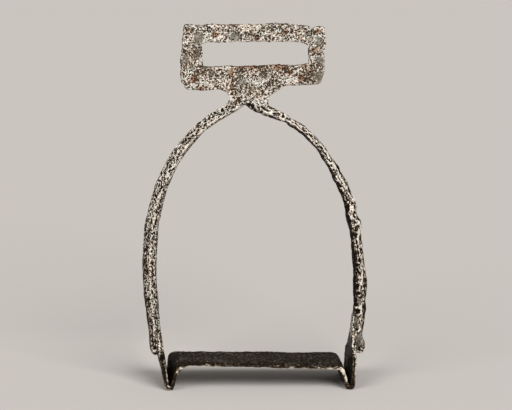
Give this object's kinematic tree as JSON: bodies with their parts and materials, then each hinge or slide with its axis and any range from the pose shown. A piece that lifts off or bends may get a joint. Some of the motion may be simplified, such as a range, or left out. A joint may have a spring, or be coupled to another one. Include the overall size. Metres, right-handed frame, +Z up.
{
  "type": "stirrup",
  "caption": "Hand-forged iron stirrup with an oblong strap frame, a short neck, an arch of two ridged side bars, and a flat tread folded to a V at each end.",
  "frame": {"origin": "on the ground, below the middle of the arch", "axes": "+Z up towards the strap frame, +Y towards the back, +X towards the right side bar; the front faces -Y"},
  "size_m": [0.1358, 0.0365, 0.2222],
  "materials": {
    "frame_iron": "forged, worn pale, finely pitted, with rust in the pits",
    "bar_iron": "forged, worn bright on the ridge, deeply pitted",
    "tread_iron": "dark brown oxide with bright worn edges"
  },
  "bodies": {
    "root": {"strap_frame_top_bar": "frame_iron", "strap_frame_left_post": "frame_iron", "strap_frame_right_post": "frame_iron", "neck_plate": "frame_iron", "left_side_bar": "bar_iron", "right_side_bar": "bar_iron", "tread_strip": "tread_iron"}
  },
  "joints": []
}
